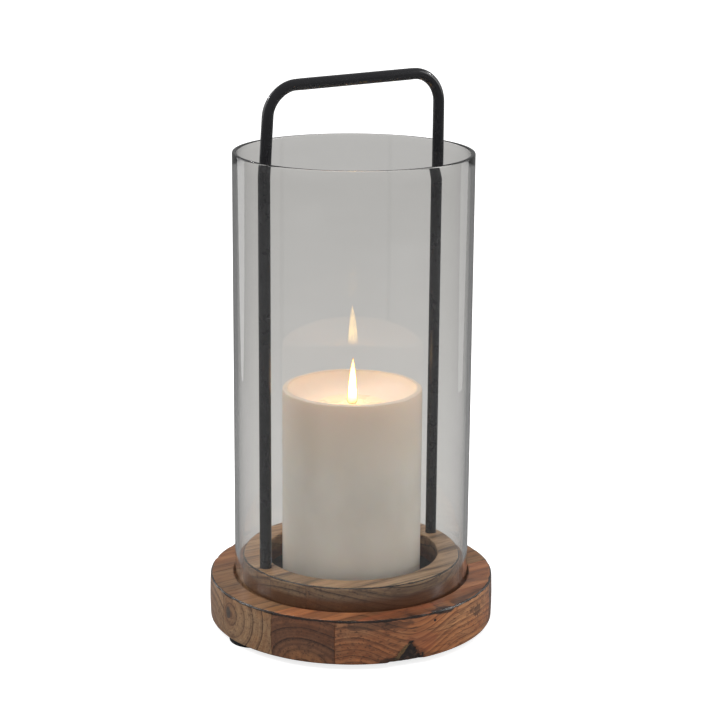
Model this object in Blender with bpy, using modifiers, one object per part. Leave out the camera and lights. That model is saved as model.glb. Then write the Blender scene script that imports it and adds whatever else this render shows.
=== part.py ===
"""Hurricane candle holder: a turned wooden base, an open glass sleeve, a bent-rod carrying handle
and a pillar candle.

Metres, +Z up. The origin is on the base's axis at the surface it stands on, and the handle's
plane is X-Z.
"""

from math import cos, pi, radians, sin, sqrt

import bmesh
import bpy
from mathutils import Matrix, Vector

# Gap between pieces that touch, and how far a cutter reaches past the piece it cuts
GAP = 0.0003
OVERSHOOT = 0.0010

# Base disc, glued up from boards that run along X, a little turned from the handle's plane
DISC_RADIUS = 0.1039
DISC_BOTTOM_Z = 0.0040
DISC_TOP_Z = 0.0365
DISC_TOP_ROUND = 0.0018
DISC_BOTTOM_ROUND = 0.0012
DISC_BULGE = 0.0004
GROOVE_OUTER_RADIUS = 0.0870
GROOVE_FLOOR_Z = 0.0300
HUB_TOP_Z = 0.0335
BOARD_JOINTS_Y = (-0.0790, -0.0409, 0.0105, 0.0487)
BOARD_SLANT = radians(1.9)

# Collar ring, glued on the disc's hub
COLLAR_OUTER_RADIUS = 0.0799
COLLAR_INNER_RADIUS = 0.0635
COLLAR_TOP_Z = 0.0520
COLLAR_ROUND = 0.0012

# Metal plate under the candle, held by one countersunk screw
PLATE_RADIUS = 0.0628
PLATE_THICKNESS = 0.0012
PLATE_SCREW_HEAD_RADIUS = 0.0036
PLATE_SCREW_SHANK_RADIUS = 0.0017
PLATE_SCREW_LENGTH = 0.0140
PLATE_SCREW_POINT = 0.0030
PLATE_SCREW_SUNK = 0.0001
PLATE_CONE_DEPTH = 0.0019

# Glass sleeve
GLASS_OUTER_RADIUS = 0.0857
GLASS_WALL = 0.0030
GLASS_TOP_Z = 0.3482
GLASS_ROUND = 0.0009

# Handle, a round rod bent to an upside-down U
ROD_RADIUS = 0.00425
LEG_X = 0.0720
BAR_Z = 0.4000
BEND_RADIUS = 0.0220
LEG_BOTTOM_Z = 0.0360
TAPPED_DEPTH = 0.0150

# Screws that pull the handle's legs down, from under the disc
SCREW_SHANK_RADIUS = 0.0022
SCREW_HEAD_RADIUS = 0.0048
SCREW_HEAD_HEIGHT = 0.0030
SCREW_HEAD_ROUND = 0.0012
SCREW_TIP_CHAMFER = 0.0005
WASHER_RADIUS = 0.0060
WASHER_THICKNESS = 0.0010
COUNTERBORE_RADIUS = 0.0068
COUNTERBORE_TOP_Z = 0.0140
SCREW_END_Z = 0.0490
DRIVE_RADIUS = 0.0015
DRIVE_DEPTH = 0.0016

# Feet, stuck under the disc by hand: (azimuth in degrees, distance from the axis)
FOOT_RADIUS = 0.0180
FOOT_ROUND = 0.0009
FEET = ((182.0, 0.0845), (65.0, 0.0800), (-50.0, 0.0800))

# Candle, with a dished top from burning
CANDLE_RADIUS = 0.0508
CANDLE_TOP_Z = 0.1770
CANDLE_LIP_WIDTH = 0.0036
CANDLE_EDGE_ROUND = 0.0016
CANDLE_BASE_ROUND = 0.0010
POOL_RADIUS = 0.0250
POOL_Z = 0.1630
BOWL_STEEPNESS = 0.96
WICK_RADIUS = 0.0012
WICK_TOP_Z = 0.1720
CLIP_RADIUS = 0.0090
CLIP_THICKNESS = 0.0008
CLIP_NECK_RADIUS = 0.0024
CLIP_NECK_HEIGHT = 0.0120

# Steps round a turned piece, and the angle past which an edge stays sharp
TURN_STEPS = 72
SMALL_STEPS = 24
WICK_STEPS = 12
FULL_TURN = 2 * pi
SHARP_ANGLE = radians(40)


def clear_scene():
    """Take away whatever the scene starts with."""
    for old in list(bpy.data.objects):
        bpy.data.objects.remove(old, do_unlink=True)


def new_collection(name):
    """Make a collection under the scene's own."""
    made = bpy.data.collections.new(name)
    bpy.context.scene.collection.children.link(made)
    return made


def make_material(name, colour, roughness, metallic=0.0, transmission=0.0):
    """Make a Principled material."""
    material = bpy.data.materials.new(name)
    material.use_nodes = True
    shader = material.node_tree.nodes["Principled BSDF"]
    shader.inputs["Base Color"].default_value = (*colour, 1.0)
    shader.inputs["Roughness"].default_value = roughness
    shader.inputs["Metallic"].default_value = metallic
    shader.inputs["Transmission Weight"].default_value = transmission
    material.diffuse_color = (*colour, 1.0)
    return material


def add_object(name, mesh, collection, material=None):
    """Put a mesh in the scene as a named object, with its material."""
    made = bpy.data.objects.new(name, mesh)
    collection.objects.link(made)
    if material:
        mesh.materials.append(material)
    return made


def arc(centre, radius, start, end, steps):
    """Points (r, z) on an arc, angles in degrees, both ends included."""
    points = []
    for step in range(steps + 1):
        angle = radians(start + (end - start) * step / steps)
        points.append((centre[0] + radius * cos(angle), centre[1] + radius * sin(angle)))
    return points


def turned_mesh(name, profile, closed=False):
    """Make the mesh of a profile of (r, z) points in the X-Z plane, for a Screw modifier."""
    shape = bmesh.new()
    verts = [shape.verts.new((r, 0.0, z)) for r, z in profile]
    for first, second in zip(verts, verts[1:]):
        shape.edges.new((first, second))
    if closed:
        shape.edges.new((verts[-1], verts[0]))
    mesh = bpy.data.meshes.new(name)
    shape.to_mesh(mesh)
    shape.free()
    return mesh


def turn(target, steps=TURN_STEPS):
    """Turn an object's profile about Z."""
    screw = target.modifiers.new("Turn", "SCREW")
    screw.angle = FULL_TURN
    screw.steps = steps
    screw.render_steps = steps
    screw.use_merge_vertices = True
    screw.merge_threshold = 0.00001
    screw.use_smooth_shade = True
    return target


def turned(name, profile, collection, material=None, closed=False, steps=TURN_STEPS):
    """Make a turned piece from its profile, outer side first from top to bottom."""
    return turn(add_object(name, turned_mesh(name, profile, closed), collection, material), steps)


def cylinder_mesh(name, radius, low, high, sides=SMALL_STEPS, top_radius=None):
    """Make a capped cylinder or cone along Z."""
    shape = bmesh.new()
    bmesh.ops.create_cone(
        shape,
        cap_ends=True,
        segments=sides,
        radius1=radius,
        radius2=radius if top_radius is None else top_radius,
        depth=high - low,
        matrix=Matrix.Translation((0.0, 0.0, (low + high) / 2)),
    )
    mesh = bpy.data.meshes.new(name)
    shape.to_mesh(mesh)
    shape.free()
    mesh.shade_smooth()
    mesh.set_sharp_from_angle(angle=SHARP_ANGLE)
    return mesh


def as_cutter(target):
    """Mark an object as a tool that isn't part of the model."""
    target.hide_render = True
    target.display_type = "WIRE"
    return target


def cylinder_cutter(name, radius, low, high, place=(0.0, 0.0), top_radius=None):
    """Make a round cutter that stands at (x, y)."""
    mesh = cylinder_mesh(name, radius, low, high, top_radius=top_radius)
    cutter = as_cutter(add_object(name, mesh, CUTTERS))
    cutter.location = (place[0], place[1], 0.0)
    return cutter


def box_cutter(name, low, high):
    """Make a box cutter between two corners."""
    shape = bmesh.new()
    bmesh.ops.create_cube(shape, size=1.0)
    size = Vector(high) - Vector(low)
    bmesh.ops.scale(shape, vec=size, verts=shape.verts)
    mesh = bpy.data.meshes.new(name)
    shape.to_mesh(mesh)
    shape.free()
    cutter = as_cutter(add_object(name, mesh, CUTTERS))
    cutter.location = (Vector(low) + Vector(high)) / 2
    return cutter


def cut(target, cutter, operation="DIFFERENCE"):
    """Cut a piece with a cutter, or keep only what the cutter covers."""
    boolean = target.modifiers.new(cutter.name, "BOOLEAN")
    boolean.operation = operation
    boolean.solver = "EXACT"
    boolean.object = cutter
    return target


def disc_profile():
    """The disc's outline: hub, groove, rounded top edge, slightly bulged side, bottom."""
    side_top = (DISC_RADIUS - DISC_TOP_ROUND, DISC_TOP_Z - DISC_TOP_ROUND)
    side_bottom = (DISC_RADIUS - DISC_BOTTOM_ROUND, DISC_BOTTOM_Z + DISC_BOTTOM_ROUND)
    side_steps = 3
    points = [(0.0, HUB_TOP_Z), (COLLAR_OUTER_RADIUS, HUB_TOP_Z)]
    points += [(COLLAR_OUTER_RADIUS, GROOVE_FLOOR_Z), (GROOVE_OUTER_RADIUS, GROOVE_FLOOR_Z)]
    points += [(GROOVE_OUTER_RADIUS, DISC_TOP_Z)]
    points += arc(side_top, DISC_TOP_ROUND, 90, 0, 3)
    for step in range(1, side_steps):
        share = step / side_steps
        bulge = DISC_BULGE * sin(pi * share)
        height = side_top[1] + (side_bottom[1] - side_top[1]) * share
        points.append((DISC_RADIUS + bulge, height))
    points += arc(side_bottom, DISC_BOTTOM_ROUND, 0, -90, 2)
    points.append((0.0, DISC_BOTTOM_Z))
    return points


def leg_spots():
    """Name and (x, y) of the handle's two legs."""
    return (("left", (-LEG_X, 0.0)), ("right", (LEG_X, 0.0)))


def screw_hole_cutters():
    """Cutters for the holes through the disc: two counterbored ones and the plate's pilot."""
    low = DISC_BOTTOM_Z - OVERSHOOT
    high = HUB_TOP_Z + OVERSHOOT
    clearance = SCREW_SHANK_RADIUS + GAP
    cutters = []
    for tag, spot in leg_spots():
        head = cylinder_cutter(f"counterbore_{tag}", COUNTERBORE_RADIUS, low, COUNTERBORE_TOP_Z, spot)
        shank = cylinder_cutter(f"screw_hole_{tag}", clearance, low, high, spot)
        cutters += [head, shank]
    pilot_low = HUB_TOP_Z - PLATE_SCREW_LENGTH - GAP
    cutters.append(cylinder_cutter("pilot_hole", PLATE_SCREW_SHANK_RADIUS + GAP, pilot_low, high))
    return cutters


def base_boards():
    """The disc as edge-glued boards, each the disc's turned shape cut to its strip."""
    mesh = turned_mesh("disc", disc_profile())
    mesh.materials.append(WOOD)
    reach = DISC_RADIUS + DISC_BULGE + OVERSHOOT
    edges = (-reach, *BOARD_JOINTS_Y, reach)
    slant = Matrix.Rotation(BOARD_SLANT, 3, "Z")
    holes = screw_hole_cutters()
    for number, (low_y, high_y) in enumerate(zip(edges, edges[1:]), start=1):
        board = turn(add_object(f"base_board_{number}", mesh, PARTS))
        strip = box_cutter(
            f"strip_{number}",
            (-reach, low_y + GAP / 2, DISC_BOTTOM_Z - OVERSHOOT),
            (reach, high_y - GAP / 2, DISC_TOP_Z + OVERSHOOT),
        )
        strip.location.rotate(slant)
        strip.rotation_euler.z = BOARD_SLANT
        cut(board, strip, "INTERSECT")
        if low_y < 0.0 < high_y:
            for hole in holes:
                cut(board, hole)


def collar_ring():
    """The raised ring that the glass fits round and the handle stands in."""
    outer = COLLAR_OUTER_RADIUS - COLLAR_ROUND
    inner = COLLAR_INNER_RADIUS + COLLAR_ROUND
    shoulder = COLLAR_TOP_Z - COLLAR_ROUND
    profile = arc((outer, shoulder), COLLAR_ROUND, 90, 0, 3)
    profile += [(COLLAR_OUTER_RADIUS, HUB_TOP_Z + GAP), (COLLAR_INNER_RADIUS, HUB_TOP_Z + GAP)]
    profile += arc((inner, shoulder), COLLAR_ROUND, 180, 90, 3)
    ring = turned("collar_ring", profile, PARTS, WOOD, closed=True)
    clearance = SCREW_SHANK_RADIUS + GAP
    socket_floor = LEG_BOTTOM_Z - GAP
    for tag, spot in leg_spots():
        cut(ring, cylinder_cutter(
            f"leg_socket_{tag}", ROD_RADIUS + GAP, socket_floor, COLLAR_TOP_Z + OVERSHOOT, spot
        ))
        cut(ring, cylinder_cutter(
            f"collar_hole_{tag}", clearance, HUB_TOP_Z - OVERSHOOT, LEG_BOTTOM_Z, spot
        ))


def candle_plate():
    """The thin metal plate that the candle stands on."""
    low = HUB_TOP_Z + GAP
    high = low + PLATE_THICKNESS
    chamfer = PLATE_THICKNESS / 4
    profile = [(0.0, high), (PLATE_RADIUS - chamfer, high), (PLATE_RADIUS, high - chamfer)]
    profile += [(PLATE_RADIUS, low), (0.0, low)]
    plate = turned("candle_plate", profile, PARTS, BLACK_METAL)
    shank_clearance = PLATE_SCREW_SHANK_RADIUS + GAP
    cut(plate, cylinder_cutter(
        "plate_countersink",
        shank_clearance,
        high - PLATE_CONE_DEPTH,
        high + PLATE_SCREW_SUNK,
        top_radius=PLATE_SCREW_HEAD_RADIUS + GAP,
    ))
    cut(plate, cylinder_cutter("plate_hole", shank_clearance + GAP, low - OVERSHOOT, high))


def plate_screw():
    """The countersunk wood screw in the middle of the plate."""
    top = HUB_TOP_Z + GAP + PLATE_THICKNESS - PLATE_SCREW_SUNK
    tip = HUB_TOP_Z - PLATE_SCREW_LENGTH
    profile = [(0.0, top), (PLATE_SCREW_HEAD_RADIUS, top)]
    profile += [(PLATE_SCREW_SHANK_RADIUS, top - PLATE_THICKNESS)]
    profile += [(PLATE_SCREW_SHANK_RADIUS, tip + PLATE_SCREW_POINT), (0.0, tip)]
    turned("plate_screw", profile, PARTS, STEEL, steps=SMALL_STEPS)


def glass_sleeve():
    """The open glass tube, with both rims polished round."""
    outer = GLASS_OUTER_RADIUS
    inner = outer - GLASS_WALL
    low = GROOVE_FLOOR_Z + GAP
    high = GLASS_TOP_Z
    top = high - GLASS_ROUND
    bottom = low + GLASS_ROUND
    profile = arc((outer - GLASS_ROUND, top), GLASS_ROUND, 90, 0, 2)
    profile += arc((outer - GLASS_ROUND, bottom), GLASS_ROUND, 0, -90, 2)
    profile += arc((inner + GLASS_ROUND, bottom), GLASS_ROUND, -90, -180, 2)
    profile += arc((inner + GLASS_ROUND, top), GLASS_ROUND, 180, 90, 2)
    turned("glass_sleeve", profile, PARTS, GLASS, closed=True)


def handle_path():
    """Centre line of the rod: up one leg, across, and down the other."""
    bend_x = LEG_X - BEND_RADIUS
    bend_z = BAR_Z - BEND_RADIUS
    right = arc((bend_x, bend_z), BEND_RADIUS, 0, 90, 9)
    left = [(-x, z) for x, z in reversed(right)]
    return [(LEG_X, LEG_BOTTOM_Z), *right, *left, (-LEG_X, LEG_BOTTOM_Z)]


def handle():
    """The bent rod, with a tapped hole up each leg."""
    curve = bpy.data.curves.new("handle_rod", "CURVE")
    curve.dimensions = "3D"
    curve.bevel_depth = ROD_RADIUS
    curve.bevel_resolution = 5
    curve.use_fill_caps = True
    points = handle_path()
    spline = curve.splines.new("POLY")
    spline.points.add(len(points) - 1)
    for point, (x, z) in zip(spline.points, points):
        point.co = (x, 0.0, z, 1.0)
    rod = bpy.data.objects.new("handle_rod", curve)
    PARTS.objects.link(rod)
    bpy.context.view_layer.update()
    mesh = bpy.data.meshes.new_from_object(rod.evaluated_get(bpy.context.evaluated_depsgraph_get()))
    place = rod.matrix_world.copy()
    bpy.data.objects.remove(rod, do_unlink=True)
    shape = bmesh.new()
    shape.from_mesh(mesh)
    bmesh.ops.remove_doubles(shape, verts=shape.verts, dist=0.00001)
    bmesh.ops.recalc_face_normals(shape, faces=shape.faces)
    shape.to_mesh(mesh)
    shape.free()
    mesh.shade_smooth()
    mesh.set_sharp_from_angle(angle=SHARP_ANGLE)
    bent = add_object("handle", mesh, PARTS, BLACK_METAL)
    bent.matrix_world = place
    drill_low = LEG_BOTTOM_Z - OVERSHOOT
    drill_high = LEG_BOTTOM_Z + TAPPED_DEPTH
    for tag, spot in leg_spots():
        drill = cylinder_cutter(
            f"tapped_hole_{tag}", SCREW_SHANK_RADIUS + GAP, drill_low, drill_high, spot
        )
        cut(bent, drill)


def handle_fastener(tag, spot):
    """A pan-head screw and its washer, in the counterbore under one leg."""
    washer_top = COUNTERBORE_TOP_Z - GAP
    washer_bottom = washer_top - WASHER_THICKNESS
    head_top = washer_bottom - GAP
    head_bottom = head_top - SCREW_HEAD_HEIGHT
    bore = SCREW_SHANK_RADIUS + GAP
    ring = [(WASHER_RADIUS, washer_top), (WASHER_RADIUS, washer_bottom)]
    ring += [(bore, washer_bottom), (bore, washer_top)]
    washer = turned(f"handle_washer_{tag}", ring, PARTS, STEEL, closed=True, steps=SMALL_STEPS)
    head_centre = (SCREW_HEAD_RADIUS - SCREW_HEAD_ROUND, head_bottom + SCREW_HEAD_ROUND)
    outline = [(0.0, SCREW_END_Z), (SCREW_SHANK_RADIUS - SCREW_TIP_CHAMFER, SCREW_END_Z)]
    outline += [(SCREW_SHANK_RADIUS, SCREW_END_Z - SCREW_TIP_CHAMFER)]
    outline += [(SCREW_SHANK_RADIUS, head_top), (SCREW_HEAD_RADIUS, head_top)]
    outline += arc(head_centre, SCREW_HEAD_ROUND, 0, -90, 3)
    outline += [(0.0, head_bottom)]
    screw = turned(f"handle_screw_{tag}", outline, PARTS, STEEL, steps=SMALL_STEPS)
    drive_low = head_bottom - OVERSHOOT
    drive_mesh = cylinder_mesh("drive", DRIVE_RADIUS, drive_low, head_bottom + DRIVE_DEPTH, sides=6)
    drive = as_cutter(add_object(f"drive_{tag}", drive_mesh, CUTTERS))
    cut(screw, drive)
    for piece in (washer, screw, drive):
        piece.location = (spot[0], spot[1], 0.0)


def foot(number, azimuth, distance):
    """One round pad under the disc."""
    top = DISC_BOTTOM_Z - GAP
    profile = [(0.0, top), (FOOT_RADIUS, top), (FOOT_RADIUS, FOOT_ROUND)]
    profile += arc((FOOT_RADIUS - FOOT_ROUND, FOOT_ROUND), FOOT_ROUND, 0, -90, 3)[1:]
    profile += [(0.0, 0.0)]
    pad = turned(f"foot_{number}", profile, PARTS, RUBBER, steps=SMALL_STEPS)
    angle = radians(azimuth)
    pad.location = (distance * cos(angle), distance * sin(angle), 0.0)


def dish_height(radius):
    """Height of the burned-down top at a radius: a level pool, then a bowl up to the lip."""
    lip_radius = CANDLE_RADIUS - CANDLE_LIP_WIDTH
    if radius <= POOL_RADIUS:
        return POOL_Z
    share = (radius - POOL_RADIUS) / (lip_radius - POOL_RADIUS)
    rise = 1 - sqrt(1 - BOWL_STEEPNESS * share * share)
    full_rise = 1 - sqrt(1 - BOWL_STEEPNESS)
    return POOL_Z + (CANDLE_TOP_Z - POOL_Z) * rise / full_rise


def candle():
    """The wax pillar with its wick and the metal clip that the wick stands in."""
    low = HUB_TOP_Z + PLATE_THICKNESS + 2 * GAP
    edge = (CANDLE_RADIUS - CANDLE_EDGE_ROUND, CANDLE_TOP_Z - CANDLE_EDGE_ROUND)
    base = (CANDLE_RADIUS - CANDLE_BASE_ROUND, low + CANDLE_BASE_ROUND)
    lip_radius = CANDLE_RADIUS - CANDLE_LIP_WIDTH
    bore = WICK_RADIUS + GAP
    bowl_steps = 7
    profile = [(0.0, POOL_Z)]
    for step in range(bowl_steps + 1):
        radius = POOL_RADIUS + (lip_radius - POOL_RADIUS) * step / bowl_steps
        profile.append((radius, dish_height(radius)))
    profile += arc(edge, CANDLE_EDGE_ROUND, 90, 0, 3)
    profile += arc(base, CANDLE_BASE_ROUND, 0, -90, 2)
    profile.append((0.0, low))
    body = turned("candle_body", profile, PARTS, WAX)
    clip_top = low + CLIP_THICKNESS + GAP
    neck_top = low + CLIP_NECK_HEIGHT + GAP
    under = low - OVERSHOOT
    cut(body, cylinder_cutter("clip_pocket", CLIP_RADIUS + GAP, under, clip_top))
    cut(body, cylinder_cutter("neck_pocket", CLIP_NECK_RADIUS + GAP, under, neck_top))
    cut(body, cylinder_cutter("wick_bore", bore, under, POOL_Z + OVERSHOOT))

    clip_profile = [(CLIP_NECK_RADIUS, low + CLIP_NECK_HEIGHT)]
    clip_profile += [(CLIP_NECK_RADIUS, low + CLIP_THICKNESS), (CLIP_RADIUS, low + CLIP_THICKNESS)]
    clip_profile += [(CLIP_RADIUS, low), (bore, low), (bore, low + CLIP_NECK_HEIGHT)]
    turned("wick_clip", clip_profile, PARTS, STEEL, closed=True, steps=SMALL_STEPS)

    wick_profile = [(0.0, WICK_TOP_Z), (WICK_RADIUS * 0.7, WICK_TOP_Z)]
    wick_profile += [(WICK_RADIUS, WICK_TOP_Z - WICK_RADIUS), (WICK_RADIUS, low + GAP)]
    wick_profile += [(0.0, low + GAP)]
    turned("wick", wick_profile, PARTS, WICK, steps=WICK_STEPS)


clear_scene()
PARTS = new_collection("hurricane_candle_holder")
CUTTERS = new_collection("cutters")

WOOD = make_material("wood", (0.30, 0.16, 0.08), 0.42)
BLACK_METAL = make_material("black_metal", (0.018, 0.018, 0.020), 0.45, 0.0)
GLASS = make_material("glass", (0.93, 0.94, 0.93), 0.02, 0.0, 1.0)
WAX = make_material("wax", (0.72, 0.67, 0.60), 0.45)
WICK = make_material("wick", (0.10, 0.08, 0.06), 0.9)
STEEL = make_material("steel", (0.60, 0.60, 0.62), 0.35, 1.0)
RUBBER = make_material("rubber", (0.02, 0.02, 0.022), 0.6)

base_boards()
collar_ring()
candle_plate()
plate_screw()
glass_sleeve()
handle()
for leg_tag, leg_spot in leg_spots():
    handle_fastener(leg_tag, leg_spot)
for foot_number, (foot_azimuth, foot_distance) in enumerate(FEET, start=1):
    foot(foot_number, foot_azimuth, foot_distance)
candle()
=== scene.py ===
"""Looks of the hurricane candle holder: finer meshes, materials, light and camera.

Metres, +Z up, in the frame's own axes: the origin is on the base's axis at the floor.
"""

from math import cos, pi, radians, sin, sqrt

import bmesh
import bpy
from mathutils import Matrix, Vector, noise

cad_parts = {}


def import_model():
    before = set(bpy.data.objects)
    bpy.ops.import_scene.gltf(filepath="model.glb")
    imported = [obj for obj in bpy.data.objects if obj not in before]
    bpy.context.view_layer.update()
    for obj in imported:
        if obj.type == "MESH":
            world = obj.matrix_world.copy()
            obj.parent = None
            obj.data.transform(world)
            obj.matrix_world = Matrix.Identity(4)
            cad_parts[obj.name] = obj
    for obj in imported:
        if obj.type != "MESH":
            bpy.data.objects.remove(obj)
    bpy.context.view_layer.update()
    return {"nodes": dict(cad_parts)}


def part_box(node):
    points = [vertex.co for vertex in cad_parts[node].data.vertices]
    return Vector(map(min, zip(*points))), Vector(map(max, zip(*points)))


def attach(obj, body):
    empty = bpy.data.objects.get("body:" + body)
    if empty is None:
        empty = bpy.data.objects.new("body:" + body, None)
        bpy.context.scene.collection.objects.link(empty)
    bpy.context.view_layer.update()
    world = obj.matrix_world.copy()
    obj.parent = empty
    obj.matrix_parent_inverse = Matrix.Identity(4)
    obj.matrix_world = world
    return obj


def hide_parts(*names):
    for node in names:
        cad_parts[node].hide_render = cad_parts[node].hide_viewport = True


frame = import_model()

# Gap between pieces that touch
GAP = 0.0003

# Sizes read from the frame
DISC_BOTTOM_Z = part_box("base_board_3")[0].z
COLLAR_LOW, COLLAR_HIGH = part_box("collar_ring")
GLASS_LOW, GLASS_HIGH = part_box("glass_sleeve")
ROD_LOW, ROD_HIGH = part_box("handle")
CANDLE_LOW, CANDLE_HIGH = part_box("candle_body")
WICK_LOW, WICK_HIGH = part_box("wick")
FEET = ("foot_1", "foot_2", "foot_3")
SCREWS = ("handle_screw_left", "handle_screw_right")

# Base disc, glued up from boards that run along X, a little turned from the handle's plane
DISC_BULGE = 0.0004
DISC_RADIUS = 0.1039
DISC_TOP_Z = 0.0365
HUB_TOP_Z = COLLAR_LOW.z - GAP
GROOVE_OUTER_RADIUS = GLASS_HIGH.x + 0.0013
GROOVE_FLOOR_Z = GLASS_LOW.z - GAP
DISC_TOP_ROUND = 0.0018
DISC_BOTTOM_ROUND = 0.0012
GROOVE_EDGE_ROUND = 0.0005
BOARD_JOINTS_Y = (-0.079, -0.0409, 0.0105, 0.0487)
BOARD_SLANT = radians(1.9)
COUNTERBORE_RADIUS = 0.0068
COUNTERBORE_TOP_Z = 0.014
SCREW_HOLE_RADIUS = 0.0025
PILOT_RADIUS = 0.002
PILOT_DEPTH = 0.0143

# Collar ring
COLLAR_INNER_RADIUS = 0.0635
COLLAR_ROUND = 0.0012
COLLAR_JOINTS_Y = (-0.043, -0.0145, 0.014, 0.0425)

# Glass sleeve, and how much of a lamp's light it lets through
GLASS_WALL = 0.003
GLASS_ROUND = 0.001
GLASS_TINT = (0.988, 0.984, 0.976, 1.0)
GLASS_SHADOW = (0.90, 0.91, 0.90, 1.0)

# Handle
ROD_RADIUS = ROD_HIGH.y
LEG_X = ROD_HIGH.x - ROD_RADIUS
BAR_Z = ROD_HIGH.z - ROD_RADIUS
BEND_RADIUS = 0.022
TAPPED_DEPTH = 0.015

# The left corner as bent by hand: how far in and how far down it sits
HANDLE_LEAN = 0.003
HANDLE_DROP = 0.0027

# Candle and flame
CANDLE_RADIUS = CANDLE_HIGH.x
LIP_WIDTH = 0.0036
CANDLE_EDGE_ROUND = 0.0016
CANDLE_BASE_ROUND = 0.001
POOL_RADIUS = 0.025
POOL_Z = 0.163
BOWL_STEEPNESS = 0.96
LIQUID_DEPTH = 0.0005
FLAME_LOW_Z = 0.1638
FLAME_HEIGHT = 0.0335
FLAME_HALF_WIDTH = 0.0033
FLAME_EDGE = 0.0006
FLAME_STRENGTH = 18.0
FLAME_LIGHT = 0.014
FLAME_LIGHT_COLOUR = (1.0, 0.55, 0.28)
# Painted firelight: the glow given to the wax and its pool round the flame's foot
PAINTED_GLOW = 0.40
PAINTED_GLOW_COLOUR = (1.0, 0.36, 0.08, 1.0)

# Camera: where it stands round its aim point, in degrees and metres
CAMERA_AIM = Vector((0.0044, -0.003, 0.2123))
CAMERA_AZIMUTH = -32.78
CAMERA_ELEVATION = 14.24
CAMERA_DISTANCE = 1.4598
CAMERA_ROLL = 0.0073
CAMERA_LENS = 101.4
CAMERA_SHIFT_Y = -0.03

# Light: strengths, and the lamps as (name, azimuth from the camera, elevation, distance, size,
# watts, seen in gloss)
ROOM_SEEN = 1.05
ROOM_LIGHT = 0.505
ROOM_MIRRORED = 0.28
CEILING_LIGHT = 1.7
LAMPS_FACE = Vector((0.0, 0.0, 0.18))
LAMPS = (
    ("softbox_left", -126, 20, 0.62, (0.20, 0.85), 0.50, True),
    ("softbox_right", 122, 16, 0.62, (0.18, 0.90), 0.30, True),
    ("glint_left", -121, 38, 1.0, (0.07, 0.07), 0.60, True),
    ("glint_right", 118, 38, 1.0, (0.07, 0.07), 0.60, True),
    ("side_left", -95, 25, 1.6, (0.5, 1.2), 3.0, True),
    ("side_right", 95, 25, 1.6, (0.5, 1.2), 4.5, True),
    ("front_right", 48, 6, 1.5, (0.9, 0.9), 3.2, False),
)

# Bark in the front board: a peak whose foot is on the disc's lower edge, and a pinhole beside it
BARK_X = -0.0187
BARK_LEAN = 0.178
BARK_TOP_Z = 0.0186
BARK_TIP = 0.0018
BARK_SPREAD = 0.92
BARK_DEPTH = 0.0014
PINHOLE_X = 0.0039
PINHOLE_Z = 0.0305
PINHOLE_RADIUS = 0.0013
PINHOLE_DEPTH = 0.0008

# Pith of the board that shows its end grain, as (y, z), with a grey knot round it
END_PITH = (0.0, 0.0237)
END_FACE_X = -0.1038

TURN_STEPS = 288
DISC_STEPS = 540
COLLAR_STEPS = 432
GLASS_STEPS = 360
SHARP_ANGLE = radians(38)


# ---- Mesh helpers ----

def arc(centre, radius, start, end, steps):
    """Points (r, z) on an arc, angles in degrees, both ends included."""
    angles = [radians(start + (end - start) * step / steps) for step in range(steps + 1)]
    return [(centre[0] + radius * cos(a), centre[1] + radius * sin(a)) for a in angles]


def between(first, *way):
    """Points along straight runs, each given as its steps and its end; the last end is left out."""
    points = []
    for steps, last in zip(way[::2], way[1::2]):
        across, up = last[0] - first[0], last[1] - first[1]
        for step in range(steps):
            points.append((first[0] + across * step / steps, first[1] + up * step / steps))
        first = last
    return points


def ripple(place, scale, seed=0.0):
    """Smooth noise from about -1 to 1 at a point, with waves about 1/scale metres long."""
    return noise.noise(Vector(place) * scale + Vector((seed, seed * 1.7, -seed)))


def step_up(value, low, high):
    """0 below low, 1 above high, and smooth between."""
    share = min(max((value - low) / (high - low), 0.0), 1.0)
    return share * share * (3 - 2 * share)


def finished(mesh, shape):
    """A mesh from a bmesh, with its faces pointing out and its hard edges kept sharp."""
    bmesh.ops.recalc_face_normals(shape, faces=shape.faces)
    shape.to_mesh(mesh)
    shape.free()
    mesh.shade_smooth()
    mesh.set_sharp_from_angle(angle=SHARP_ANGLE)
    return mesh


def mesh_from(name, verts, faces):
    """A closed mesh from its points and faces."""
    mesh = bpy.data.meshes.new(name)
    mesh.from_pydata([tuple(v) for v in verts], [], faces)
    shape = bmesh.new()
    shape.from_mesh(mesh)
    return finished(mesh, shape)


def turned_mesh(name, profile, closed=False, steps=TURN_STEPS, shape=None):
    """A turned mesh from (r, z) points; shape, if given, moves each of its points."""
    verts = []
    rings = []
    for r, z in profile:
        if r == 0.0:
            rings.append([len(verts)] * steps)
            verts.append((0.0, 0.0, z))
            continue
        rings.append(list(range(len(verts), len(verts) + steps)))
        for step in range(steps):
            angle = 2 * pi * step / steps
            verts.append((r * cos(angle), r * sin(angle), z))
    if shape:
        verts = [shape(*v) for v in verts]
    pairs = list(zip(rings, rings[1:]))
    if closed:
        pairs.append((rings[-1], rings[0]))
    faces = []
    for upper, lower in pairs:
        for step in range(steps):
            after = (step + 1) % steps
            corners = (upper[step], lower[step], lower[after], upper[after])
            faces.append(tuple(dict.fromkeys(corners)))
    return mesh_from(name, verts, faces)


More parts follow.
